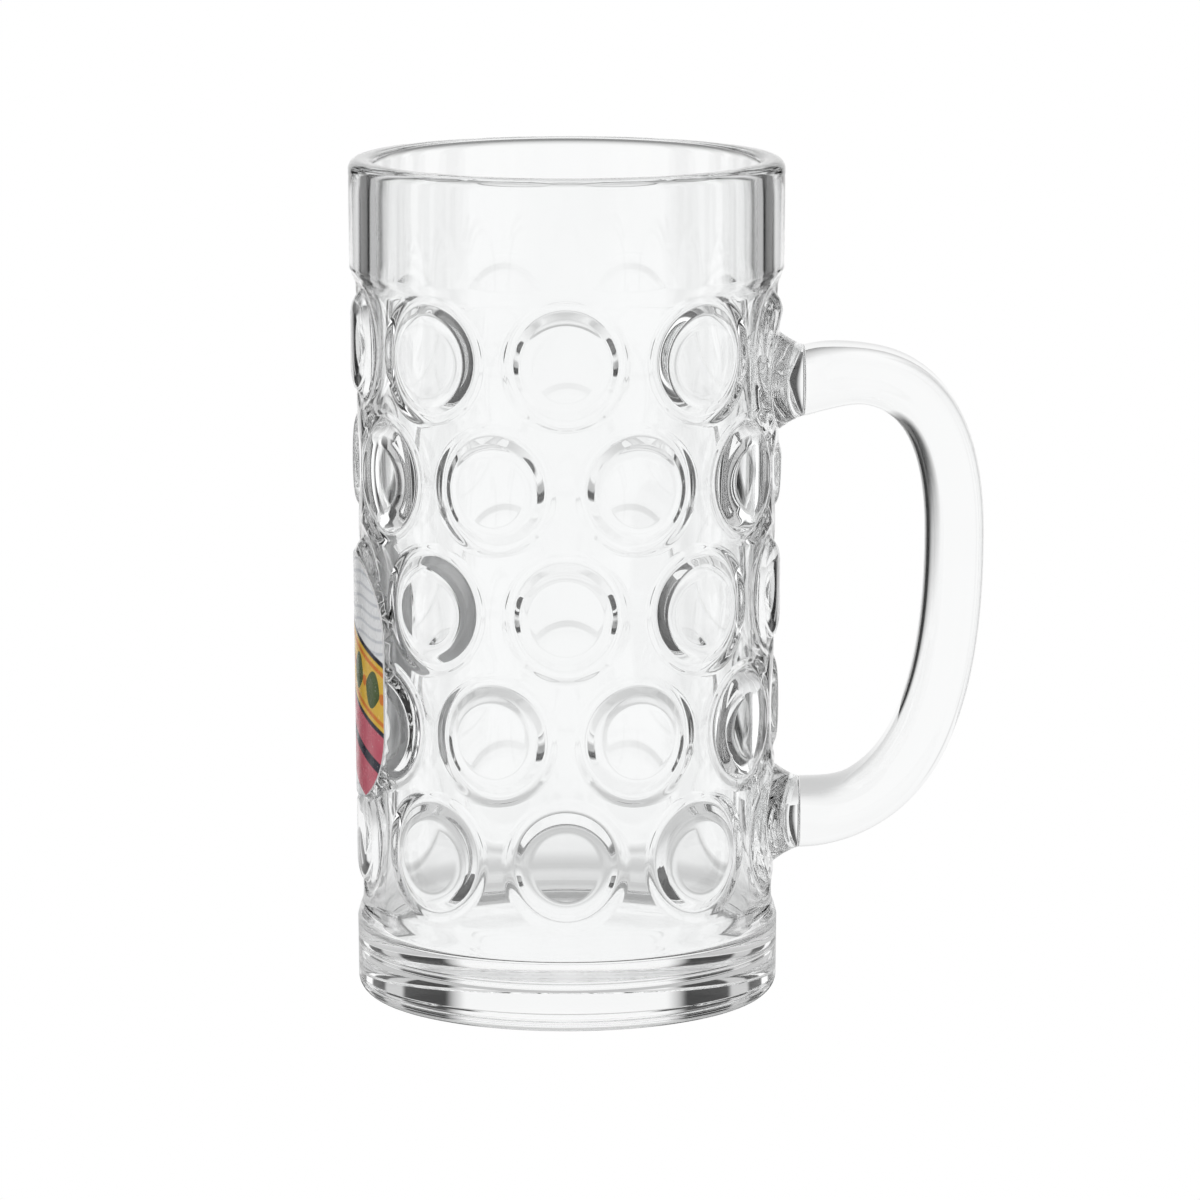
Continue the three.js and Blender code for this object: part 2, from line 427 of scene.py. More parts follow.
def smooth(piece: bpy.types.Object, degrees: float = 35.0) -> None:
    """Shades a piece smooth, with edges kept above an angle."""
    pick(piece)
    bpy.ops.object.shade_smooth_by_angle(angle=math.radians(degrees))


def vertex_places(piece: bpy.types.Object) -> np.ndarray:
    """Lists the vertices of a piece.

    Args:
        piece: The mesh object.

    Returns:
        One row of X, Y and Z for each vertex.
    """
    places = np.zeros(3 * len(piece.data.vertices))
    piece.data.vertices.foreach_get("co", places)
    return places.reshape(-1, 3)


def give_materials(piece: bpy.types.Object, *materials: bpy.types.Material) -> None:
    """Gives a piece its materials, in place of any that it has.

    Args:
        piece: The mesh object.
        materials: The materials in the order of their slots.
    """
    piece.data.materials.clear()
    for material in materials:
        piece.data.materials.append(material)


def seat(piece: bpy.types.Object, node: str) -> None:
    """Makes a piece stand for a CAD node, on the mug's one body.

    Args:
        piece: The finished mesh object.
        node: The CAD node that it stands for.
    """
    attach(piece, "root")
    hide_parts(node)
    triangles = sum(len(face.vertices) - 2 for face in piece.data.polygons)
    LOG.info("%s: %d triangles", piece.name, triangles)


def arc(centre: tuple[float, float], radius: float, start: float, end: float,
        steps: int) -> np.ndarray:
    """Gives the points of an arc, with angles in degrees."""
    angles = np.radians(np.linspace(start, end, steps + 1))
    return np.array(centre) + radius * np.column_stack([np.cos(angles), np.sin(angles)])


def inside_loop(points: np.ndarray, loop: np.ndarray) -> np.ndarray:
    """Tells which points of the plane lie inside a closed loop.

    Args:
        points: The points to test, one row each.
        loop: The loop's corners in order.

    Returns:
        True for each point inside.
    """
    inside = np.zeros(len(points), dtype=bool)
    for first, second in zip(loop, np.roll(loop, -1, axis=0)):
        across = (first[1] > points[:, 1]) != (second[1] > points[:, 1])
        if first[1] != second[1]:
            share = (points[:, 1] - first[1]) / (second[1] - first[1])
            inside ^= across & (points[:, 0] < first[0] + share * (second[0] - first[0]))
    return inside


def evenly(loop: np.ndarray, count: int) -> np.ndarray:
    """Spreads points evenly along a closed loop.

    Args:
        loop: The loop's corners in order.
        count: Number of points.

    Returns:
        The points, one row each.
    """
    closed = np.concatenate([loop, loop[:1]])
    run = np.concatenate([[0], np.cumsum(np.linalg.norm(np.diff(closed, axis=0), axis=1))])
    places = np.linspace(0, run[-1], count, endpoint=False)
    return np.column_stack([np.interp(places, run, closed[:, axis]) for axis in (0, 1)])


def bezier(points: np.ndarray, steps: int) -> np.ndarray:
    """Follows a cubic curve.

    Args:
        points: Its four control points.
        steps: Number of steps along it.

    Returns:
        The points along it, one row each.
    """
    share = np.linspace(0, 1, steps + 1)[:, None]
    rest = 1 - share
    weights = [rest ** 3, 3 * share * rest ** 2, 3 * share ** 2 * rest, share ** 3]
    return sum(weight * point for weight, point in zip(weights, points))


def smoothstep(low: float, high: float, value: np.ndarray) -> np.ndarray:
    """Rises smoothly from 0 at low to 1 at high."""
    share = np.clip((value - low) / (high - low), 0, 1)
    return share * share * (3 - 2 * share)


def rounded(radius: np.ndarray, angle: np.ndarray, height: np.ndarray) -> np.ndarray:
    """Gives points about the Z axis from their radius, angle and height."""
    return np.column_stack([radius * np.cos(angle), radius * np.sin(angle), height])


@dataclass(frozen=True)
class Envelope:
    """The straight, slightly tapered outline of the barrel."""

    height: float
    rim_radius: float
    foot_radius: float = 49.9 * MM
    wall: float = 6.2 * MM

    def outside(self, height: np.ndarray | float) -> np.ndarray | float:
        """Gives the outside radius at a height."""
        return self.foot_radius + (self.rim_radius - self.foot_radius) * height / self.height

    def inside(self, height: np.ndarray | float) -> np.ndarray | float:
        """Gives the cavity's radius at a height."""
        return self.outside(height) - self.wall


@dataclass(frozen=True)
class Relief:
    """The recessed field with its rows of lens bosses, as a depth under the envelope.

    The slope of a boss is given at knots, in millimetres from its middle. On the far side the
    bosses have a share of their depth.
    """

    field_low: float = 18.5 * MM
    field_high: float = 174.5 * MM
    ramp: float = 4.5 * MM
    rows: int = 5
    per_row: int = 9
    lowest_row: float = 39.6 * MM
    row_pitch: float = 29.3 * MM
    roll_radius: float = 50.7 * MM
    reach: float = 16.3 * MM
    knots: tuple = (0, 7.8, 9.0, 10.3, 11.2, 12.5, 13.4, 14.9, 16.3)
    slopes: tuple = (0, 0, 0.2, 0.35, 0.74, 0.74, 0, -0.5, 0)
    samples: int = 800
    rear_share: float = 0.5
    rear_span: tuple = (-0.45, 0.2)
    panel_middle: float = 77.5 * MM
    panel_half_width: float = 28.6 * MM
    panel_half_height: float = 29.1 * MM
    panel_corner: float = 18.6 * MM
    panel_depth: float = 0.5 * MM
    panel_blend: float = 1.2 * MM
    pad_depth: float = 0.9 * MM
    pad_half_width: float = 17.0 * MM
    pad_half_height: float = 13.4 * MM
    pad_blend: float = 0.35

    def lens_depth(self, distance: np.ndarray) -> np.ndarray:
        """Gives the depth of a lens boss under its top.

        Args:
            distance: Distance of each point from the lens's middle.

        Returns:
            The depth of each point.
        """
        reach = np.linspace(0, self.reach, self.samples)
        slopes = np.interp(reach, np.array(self.knots) * MM, self.slopes)
        steps = np.diff(reach) * (slopes[1:] + slopes[:-1]) / 2
        return np.interp(distance, reach, np.concatenate([[0], np.cumsum(steps)]))

    def start(self, row: int) -> float:
        """Gives the angle of one lens of a row."""
        return -TURN / 4 + (row % 2) * TURN / self.per_row / 2

    def row_height(self, row: int) -> float:
        """Gives the height of a row's middle."""
        return self.lowest_row + row * self.row_pitch

    def panel_gap(self, across: np.ndarray, height: np.ndarray) -> np.ndarray:
        """Gives the signed distance from the outline of the badge's panel.

        Args:
            across: Distance of each point from the panel's middle, along the wall.
            height: Height of each point.

        Returns:
            The distance, negative inside.
        """
        side = np.abs(across) - self.panel_half_width + self.panel_corner
        rise = np.abs(height - self.panel_middle) - self.panel_half_height + self.panel_corner
        outer = np.hypot(np.maximum(side, 0), np.maximum(rise, 0))
        return outer + np.minimum(np.maximum(side, rise), 0) - self.panel_corner

    def depth(self, angle: np.ndarray, height: np.ndarray) -> np.ndarray:
        """Gives the depth of the outer surface under the envelope.

        Args:
            angle: Angle about the axis, from +X.
            height: Height of each point.

        Returns:
            The depth of each point.
        """
        pitch = TURN / self.per_row
        distance = np.full(np.shape(angle), self.reach)
        for row in range(self.rows):
            turn = (angle - self.start(row) + pitch / 2) % pitch - pitch / 2
            here = np.hypot(turn * self.roll_radius, height - self.row_height(row))
            distance = np.minimum(distance, here)
        field = smoothstep(self.field_low, self.field_low + self.ramp, height)
        field = field * (1 - smoothstep(self.field_high - self.ramp, self.field_high, height))
        front = smoothstep(*self.rear_span, -np.sin(angle))
        share = self.rear_share + (1 - self.rear_share) * front
        depth = self.lens_depth(distance) * field * share
        across = ((angle % TURN) - TURN / 2) * self.roll_radius
        panel = 1 - smoothstep(-self.panel_blend, self.panel_blend, self.panel_gap(across, height))
        depth = depth + (self.panel_depth - depth) * panel
        across = (((angle + TURN / 2) % TURN) - TURN / 2) * self.roll_radius
        for root in Root:
            rise = height - root.value
            away = np.hypot(across / self.pad_half_width, rise / self.pad_half_height)
            pad = 1 - smoothstep(1.0, 1.0 + self.pad_blend, away)
            depth = depth + (self.pad_depth - depth) * pad
        return depth


@dataclass(frozen=True)
class LensSheet:
    """The flat layout of the relief: round grids on the lenses and triangles between them.

    The rings are in millimetres. The filler's points keep shares of its spacing clear.
    """

    relief: Relief
    around: int = 432
    lens_around: int = 64
    rings: tuple = (
        2.6, 5.2, 7.8, 8.4, 9.0, 9.65, 10.3, 10.75, 11.2,
        11.65, 12.1, 12.5, 12.95, 13.4, 14.1, 14.9, 16.3,
    )
    filler: float = 2.2 * MM
    filler_rise: float = 0.866
    lens_clear: float = 0.4
    edge_clear: float = 0.5
    lens_inside: float = 0.997
    tolerance: float = 1e-5
    edge_step: float = 2.0 * MM

    def pitch(self) -> float:
        """Gives the distance between two columns of lenses."""
        return TURN / self.relief.per_row * self.relief.roll_radius

    def side(self) -> np.ndarray:
        """Gives the winding line between two columns of lenses.

        Returns:
            Its points from the bottom to the top.
        """
        relief = self.relief
        rise = relief.row_pitch
        half = self.pitch() / 2
        corners = [(-half, relief.field_low)]
        for row in range(relief.rows):
            here, there = (-half, 0.0) if row % 2 == 0 else (0.0, -half)
            height = relief.row_height(row)
            corners.append((here, height))
            if row + 1 < relief.rows:
                corners.append((here, height + rise / 3))
                corners.append((-half / 2, height + rise / 2))
                corners.append((there, height + rise * 2 / 3))
        corners.append((corners[-1][0], relief.field_high))
        corners = np.array(corners)
        points = []
        for first, second in zip(corners[:-1], corners[1:]):
            count = max(1, round(float(np.linalg.norm(second - first)) / self.edge_step))
            shares = np.linspace(0, 1, count, endpoint=False)[:, None]
            points.append(first + (second - first) * shares)
        return np.concatenate(points + [corners[-1:]])

    def middles(self) -> np.ndarray:
        """Gives the middles of one column's lenses."""
        rows = range(self.relief.rows)
        return np.array([(self.pitch() / 2 * (row % 2), self.relief.row_height(row)) for row in rows])

    def lens(self, middle: np.ndarray) -> tuple[np.ndarray, list]:
        """Lays out one lens.

        Args:
            middle: The lens's middle.

        Returns:
            Its points and its faces.
        """
        turn = np.linspace(0, TURN, self.lens_around, endpoint=False)
        unit = np.column_stack([np.cos(turn), np.sin(turn)])
        points = np.concatenate([middle[None]] + [middle + unit * ring * MM for ring in self.rings])
        step = np.arange(self.lens_around)
        after = (step + 1) % self.lens_around
        faces = [(0, 1 + a, 1 + b) for a, b in zip(step, after)]
        for ring in range(len(self.rings) - 1):
            low = 1 + ring * self.lens_around
            high = low + self.lens_around
            faces += [(low + a, high + a, high + b, low + b) for a, b in zip(step, after)]
        return points, faces

    def gap(self) -> tuple[np.ndarray, list]:
        """Lays out what lies between the lenses of one column.

        Returns:
            Its points and its faces.
        """
        relief = self.relief
        pitch = self.pitch()
        left = self.side()
        top = np.linspace(0, 1, self.around // relief.per_row + 1)[1:-1, None]
        along = np.column_stack([top * pitch, np.zeros_like(top)])
        right = left + [pitch, 0]
        loop = np.concatenate([left, left[-1] + along, right[::-1], (left[0] + along)[::-1]])
        middles = self.middles()
        circles = [self.lens(middle)[0][-self.lens_around:] for middle in middles]
        columns = np.arange(-pitch, 2 * pitch, self.filler)
        rows = np.arange(relief.field_low, relief.field_high, self.filler * self.filler_rise)
        shifts = [(i % 2) * self.filler / 2 for i in range(len(rows))]
        grid = np.array([(x + shift, z) for shift, z in zip(shifts, rows) for x in columns])
        grid = grid[self.far_from(grid, middles, loop)]
        parts = [loop, *circles, grid]
        edges = []
        first = 0
        for part in parts[:-1]:
            count = len(part)
            edges += [(first + i, first + (i + 1) % count) for i in range(count)]
            first += count
        flat = [Vector(point / MM) for point in np.concatenate(parts)]
        result = delaunay_2d_cdt(flat, edges, [], 0, self.tolerance)
        points = np.array([tuple(p) for p in result[0]]) * MM
        faces = np.array([tuple(face) for face in result[2]])
        centres = points[faces].mean(axis=1)
        apart = np.linalg.norm(centres[:, None] - middles[None], axis=2).min(axis=1)
        keep = (apart > relief.reach * self.lens_inside) & inside_loop(centres, loop)
        return points, [tuple(int(i) for i in face) for face in faces[keep]]

    def far_from(self, grid: np.ndarray, middles: np.ndarray, loop: np.ndarray) -> np.ndarray:
        """Tells which filler points keep clear of the lenses and of the column's outline.

        Args:
            grid: The filler points.
            middles: The middles of the lenses.
            loop: The column's outline.

        Returns:
            True for each point to keep.
        """
        apart = np.linalg.norm(grid[:, None] - middles[None], axis=2).min(axis=1)
        rim = np.linalg.norm(grid[:, None] - loop[None], axis=2).min(axis=1)
        clear = apart > self.relief.reach + self.filler * self.lens_clear
        return clear & (rim > self.filler * self.edge_clear) & inside_loop(grid, loop)

    def mesh(self, envelope: Envelope) -> bpy.types.Object:
        """Builds the sheet, rolled round the axis on the plain envelope.

        Args:
            envelope: The outline that it lies on.

        Returns:
            The open mesh object.
        """
        points, faces, first = [], [], 0
        for part, part_faces in [self.lens(middle) for middle in self.middles()] + [self.gap()]:
            points.append(part)
            faces += [tuple(first + i for i in face) for face in part_faces]
            first += len(part)
        points = np.concatenate(points)
        all_points, all_faces = [], []
        for copy in range(self.relief.per_row):
            turn = copy * TURN / self.relief.per_row
            angle = points[:, 0] / self.relief.roll_radius - TURN / 4 + turn
            all_points.append(rounded(envelope.outside(points[:, 1]), angle, points[:, 1]))
            all_faces += [tuple(copy * len(points) + i for i in face) for face in faces]
        mesh = bpy.data.meshes.new("relief")
        mesh.from_pydata(np.concatenate(all_points).tolist(), [], all_faces)
        piece = bpy.data.objects.new("relief", mesh)
        bpy.context.scene.collection.objects.link(piece)
        return piece


@dataclass
class Barrel:
    """The clear wall, with its lip, its relief and the two flared roots of the handle."""

    envelope: Envelope
    relief: Relief
    seam: float
    floor: float
    lip_round: float = 2.6 * MM
    around: int = 432
    lip_steps: int = 10
    lip_margin: float = 1.0 * MM
    band_steps: int = 6
    cavity_steps: int = 9
    foot_steps: int = 4
    skin_share: float = 0.99
    seam_margin: float = 1.0 * MM
    joint_reach: float = 0.1 * MM
    normal_step: float = 0.05 * MM
    root_reach: float = 5.0 * MM
    root_flare: float = 3.4 * MM
    root_curve: float = 1.4
    root_half_height: float = 8.4 * MM
    root_half_width: float = 12.0 * MM
    root_sink: float = 0.25 * MM
    root_gap: float = 0.15 * MM
    root_around: int = 96
    root_steps: int = 12

    def profile(self) -> np.ndarray:
        """Gives the section of the plain parts, from the relief's top over the lip to its bottom.

        Returns:
            Radius and height of each point.
        """
        env = self.envelope
        lip = self.lip_round
        lip_height = env.height - lip
        heights = np.linspace(self.relief.field_high, lip_height, self.band_steps)[:-1]
        outside = np.column_stack([env.outside(heights), heights])
        lip_out = arc((env.rim_radius - lip, lip_height), lip, 0, 90, self.lip_steps)
        lip_in = arc((env.inside(env.height) + lip, lip_height), lip, 90, 180, self.lip_steps)
        cavity = np.linspace(lip_height, self.floor, self.cavity_steps)[1:]
        down = np.concatenate([cavity, [self.seam]])
        inside = np.column_stack([env.inside(down), down])
        rise = np.linspace(self.seam, self.relief.field_low, self.foot_steps)
        foot = np.column_stack([env.outside(rise), rise])
        return np.concatenate([outside, lip_out, lip_in, inside, foot])

    def outer_radius(self, angle: np.ndarray, height: np.ndarray) -> np.ndarray:
        """Gives the radius of the finished outer surface."""
        return self.envelope.outside(height) - self.relief.depth(angle, height)

    def on_wall(self, places: np.ndarray) -> np.ndarray:
        """Tells which points lie on the outer surface between the seam and the lip.

        Args:
            places: The points, one row each.

        Returns:
            True for each point on it.
        """
        height = places[:, 2]
        radius = np.hypot(places[:, 0], places[:, 1])
        angle = np.arctan2(places[:, 1], places[:, 0])
        near = np.abs(radius - self.outer_radius(angle, height)) < MERGE_DISTANCE
        under_lip = height < self.envelope.height - self.lip_round - self.lip_margin
        return near & under_lip & (height > self.seam + self.seam_margin)

    def emboss(self, piece: bpy.types.Object) -> None:
        """Presses the relief into the outer surface.

        Args:
            piece: The plain barrel.
        """
        places = vertex_places(piece)
        angle = np.arctan2(places[:, 1], places[:, 0])
        radius = np.hypot(places[:, 0], places[:, 1])
        skin = self.envelope.inside(places[:, 2]) + self.envelope.wall * self.skin_share
        outer = radius > skin
        fresh = np.where(outer, self.outer_radius(angle, places[:, 2]), radius)
        fresh = np.where(places[:, 2] > self.envelope.height - self.lip_round, radius, fresh)
        places = rounded(fresh, angle, places[:, 2])
        piece.data.vertices.foreach_set("co", places.ravel())
        piece.data.update()

    def face(self, root: Root) -> float:
        """Gives the plane where a root ends and the handle begins."""
        return self.envelope.outside(root.value) + self.root_reach

    def root_mesh(self, root: Root) -> bpy.types.Object:
        """Builds one flared root, from the middle of the wall out to its face.

        Args:
            root: Which of the two roots.

        Returns:
            The closed mesh object.
        """
        turn = np.linspace(0, TURN, self.root_around, endpoint=False)
        rings = []
        shares = np.concatenate([[-1.0], np.linspace(0, 1, self.root_steps + 1)])
        for share in shares:
            grow = self.root_flare * (1 - max(share, 0)) ** self.root_curve
            across = (self.root_half_width + grow) * np.cos(turn)
            rise = (self.root_half_height + grow) * np.sin(turn)
            radius = self.envelope.outside(root.value) - self.relief.pad_depth
            skin = np.sqrt(radius ** 2 - across ** 2)
            start = skin - self.root_sink
            reach = start + (self.face(root) - start) * share
            if share < 0:
                reach = skin - self.envelope.wall / 2
            rings.append(np.column_stack([reach, across, root.value + rise]))
        return rolled(f"root_{root.name.lower()}", np.array(rings), capped=True)

    def lay_normals(self, piece: bpy.types.Object) -> None:
        """Gives the outer surface the exact normals of its relief.

        Args:
            piece: The finished barrel.
        """
        places = vertex_places(piece)
        angle = np.arctan2(places[:, 1], places[:, 0])
        height = places[:, 2]
        step = self.normal_step
        turn = step / self.envelope.rim_radius
        by_turn = self.outer_radius(angle + turn, height) - self.outer_radius(angle - turn, height)
        by_rise = self.outer_radius(angle, height + step) - self.outer_radius(angle, height - step)
        lean = by_turn / (2 * turn) / self.outer_radius(angle, height)
        normals = np.column_stack([
            np.cos(angle) + lean * np.sin(angle),
            np.sin(angle) - lean * np.cos(angle),
            -by_rise / (2 * step),
        ])
        normals /= np.linalg.norm(normals, axis=1)[:, None]
        normals[~self.on_wall(places)] = 0
        piece.data.normals_split_custom_set_from_vertices(normals)

    def build(self) -> bpy.types.Object:
        """Builds the barrel's mesh.

        Returns:
            The closed mesh object.
        """
        turn = np.linspace(0, TURN, self.around, endpoint=False)
        rings = [rounded(radius, turn, np.full_like(turn, z)) for radius, z in self.profile()]
        piece = rolled("barrel_clear", np.array(rings), capped=False)
        sheet = LensSheet(self.relief, self.around).mesh(self.envelope)
        pick(piece, sheet)
        bpy.ops.object.join()
        close_mesh(piece)
        self.emboss(piece)
        for root in Root:
            lump = self.root_mesh(root)
            apply_modifier(piece, "BOOLEAN", object=lump, operation="UNION", solver="EXACT")
            bpy.data.objects.remove(lump)
        return piece

    def dress(self, piece: bpy.types.Object, plastic: bpy.types.Material,
              weld: bpy.types.Material) -> None:
        """Gives the faces their materials and normals.

        Args:
            piece: The barrel's mesh object.
            plastic: Material of the free faces.
            weld: Material of the faces against the base.
        """
        give_materials(piece, plastic, weld)
        for face in piece.data.polygons:
            face.material_index = int(self.is_joint(face))
        smooth(piece)
        self.lay_normals(piece)
        seat(piece, "barrel")

    def is_joint(self, face: bpy.types.MeshPolygon) -> bool:
        """Tells whether a face lies against the base.

        Args:
            face: A face of the barrel.

        Returns:
            True for a face on the seam or round the spigot.
        """
        x, y, z = face.center
        on_seam = abs(z - self.seam) < SEAM_TOLERANCE
        inner = math.hypot(x, y) < self.envelope.inside(z) + self.joint_reach
        return on_seam or (z < self.floor and inner)


@dataclass
class Base:
    """The thick clear foot, with the spigot that closes the barrel."""

    envelope: Envelope
    seam: float
    floor: float
    foot_round: float = 4.4 * MM
    line_width: float = 0.6 * MM
    line_depth: float = 0.3 * MM
    fillet: float = 2.0 * MM
    crease: float = 18.0
    upright: float = 0.1
    spigot_reach: float = 0.05 * MM
    around: int = 432
    round_steps: int = 14

    def build(self) -> bpy.types.Object:
        """Builds the base's mesh.

        Returns:
            The closed mesh object.
        """
        env = self.envelope
        foot_round = self.foot_round
        foot_centre = (env.outside(foot_round) - foot_round, foot_round)
        foot = arc(foot_centre, foot_round, -90, 0, self.round_steps)
        middle = foot_round + self.line_width / 2
        top = foot_round + self.line_width
        line = [[env.outside(middle) - self.line_depth, middle], [env.outside(top), top]]
        weld_top = self.weld_top()
        corner_centre = (env.inside(weld_top) - self.fillet, weld_top)
        corner = arc(corner_centre, self.fillet, 0, -90, self.round_steps)
        profile = np.concatenate([
            [[0, 0], [foot[0][0] / 2, 0]],
            foot,
            line,
            [[env.outside(self.seam), self.seam], [env.inside(self.seam), self.seam]],
            corner,
            [[corner[-1][0] / 2, self.floor], [0, self.floor]],
        ])
        return spun("base_clear", profile, self.around)

    def weld_top(self) -> float:
        """Gives the height up to which the base is welded to the wall."""
        return self.floor + self.fillet

    def is_joint(self, face: bpy.types.MeshPolygon) -> bool:
        """Tells whether a face lies against the barrel.

        Args:
            face: A face of the base.

        Returns:
            True for a face on the seam or on the spigot's side.
        """
        x, y, z = face.center
        on_seam = abs(z - self.seam) < SEAM_TOLERANCE
        outer = math.hypot(x, y) > self.envelope.inside(z) - self.spigot_reach
        return on_seam or (z > self.seam and abs(face.normal.z) < self.upright and outer)

    def dress(self, piece: bpy.types.Object, plastic: bpy.types.Material,
              weld: bpy.types.Material) -> None:
        """Gives the faces their materials.

        Args:
            piece: The base's mesh object.
            plastic: Material of the free faces.
            weld: Material of the faces against the barrel.
        """
        give_materials(piece, plastic, weld)
        for face in piece.data.polygons:
            face.material_index = int(self.is_joint(face))
        smooth(piece, self.crease)
        seat(piece, "base")


@dataclass
class Handle:
    """The bent clear bar, flat on its outside and domed towards the barrel.

    The pulls are the inner control points of its two bends, in millimetres.
    """

    upper_face: float
    lower_face: float
    end_half_height: float
    end_half_width: float
    grip_x: float = 91.75 * MM
    grip_height: float = 110.0 * MM
    shoulder_pulls: tuple = ((80.0, 153.0), (91.9, 141.0))
    elbow_pulls: tuple = ((91.8, 74.5), (84.0, 43.8))
    half_thickness: float = 6.95 * MM
    half_width: float = 12.0 * MM
    taper: float = 16.0 * MM
    flatness: float = 4.0
    inner_flatness: float = 2.2
    around: int = 96
    steps: int = 70

    def line(self) -> np.ndarray:
        """Gives the bar's middle line.

        Returns:
            X and Z of each point, from the upper root to the lower one.
        """
        upper = [self.upper_face, Root.UPPER.value]
        lower = [self.lower_face, Root.LOWER.value]
        grip = [self.grip_x, self.grip_height]
        shoulder = np.array([upper, *np.array(self.shoulder_pulls) * MM, grip])
        elbow = np.array([grip, *np.array(self.elbow_pulls) * MM, lower])
        return np.concatenate([bezier(shoulder, self.steps), bezier(elbow, self.steps)[1:]])

    def build(self) -> bpy.types.Object:
        """Builds the handle's mesh.

        Returns:
            The closed mesh object.
        """
        line = self.line()
        along = np.gradient(line, axis=0)
        along /= np.linalg.norm(along, axis=1)[:, None]
        out = np.column_stack([-along[:, 1], along[:, 0]])
        run = np.concatenate([[0], np.cumsum(np.linalg.norm(np.diff(line, axis=0), axis=1))])
        end = np.minimum(run, run[-1] - run)
        free = smoothstep(0, self.taper, end)
        square = np.column_stack([np.zeros(len(line)), np.where(run < run[-1] / 2, 1.0, -1.0)])
        out = square + (out - square) * free[:, None]
        out /= np.linalg.norm(out, axis=1)[:, None]
        turn = np.linspace(0, TURN, self.around, endpoint=False)
        rings = []
        for place, outward, loose in zip(line, out, free):
            thick = self.end_half_height + (self.half_thickness - self.end_half_height) * loose
            wide = self.end_half_width + (self.half_width - self.end_half_width) * loose
            flat = np.where(np.sin(turn) > 0, self.flatness, self.inner_flatness)
            power = 2 / (2 + (flat - 2) * loose)
            rise = thick * np.sign(np.sin(turn)) * np.abs(np.sin(turn)) ** power
            across = wide * np.sign(np.cos(turn)) * np.abs(np.cos(turn)) ** power
            rings.append(np.column_stack([
                place[0] + outward[0] * rise, across, place[1] + outward[1] * rise,
            ]))
        return rolled("handle_clear", np.array(rings), capped=True)

    def dress(self, piece: bpy.types.Object, plastic: bpy.types.Material) -> None:
        """Gives the bar its plastic.

        Args:
            piece: The handle's mesh object.
            plastic: Material of the whole bar.
        """
        give_materials(piece, plastic)
        smooth(piece)
        seat(piece, "handle")


@dataclass
class Badge:
    """The printed film on the side away from the handle."""

    envelope: Envelope
    middle: float
    half_width: float = 28.0 * MM
    half_height: float = 28.5 * MM
    corner: float = 18.0 * MM
    thickness: float = 0.42 * MM
    around: int = 96
    rings: int = 14

    def build(self) -> bpy.types.Object:
        """Builds the film's mesh.

        Returns:
            The closed mesh object.
        """
        corners = []
        for start, side, rise in ((0, 1, 1), (90, -1, 1), (180, -1, -1), (270, 1, -1)):
            centre = (side * (self.half_width - self.corner), rise * (self.half_height - self.corner))
            corners.append(arc(centre, self.corner, start, start + 90, self.around // 4 - 1))
        outline = evenly(np.concatenate(corners), self.around)
        rings = []
        for share in np.linspace(1, 0, self.rings):
            across, rise = (outline * share).T
            height = self.middle + rise
            radius = self.envelope.outside(height)
            angle = TURN / 2 - across / radius
            rings.append(rounded(radius, angle, height))
        piece = rolled("badge_film", np.array(rings), capped=False)
        apply_modifier(piece, "SOLIDIFY", thickness=self.thickness, offset=-1.0)
        close_mesh(piece)
        return piece

    def dress(self, piece: bpy.types.Object, film: bpy.types.Material,
              backing: bpy.types.Material) -> None:
        """Gives the film its print and its backing.

        Args:
            piece: The film's mesh object.
            film: Material of the printed side.
            backing: Material of the side towards the wall.
        """
        give_materials(piece, film, backing)
        for face in piece.data.polygons:
            face.material_index = int(face.normal.x > 0)
        smooth(piece)
        seat(piece, "badge")


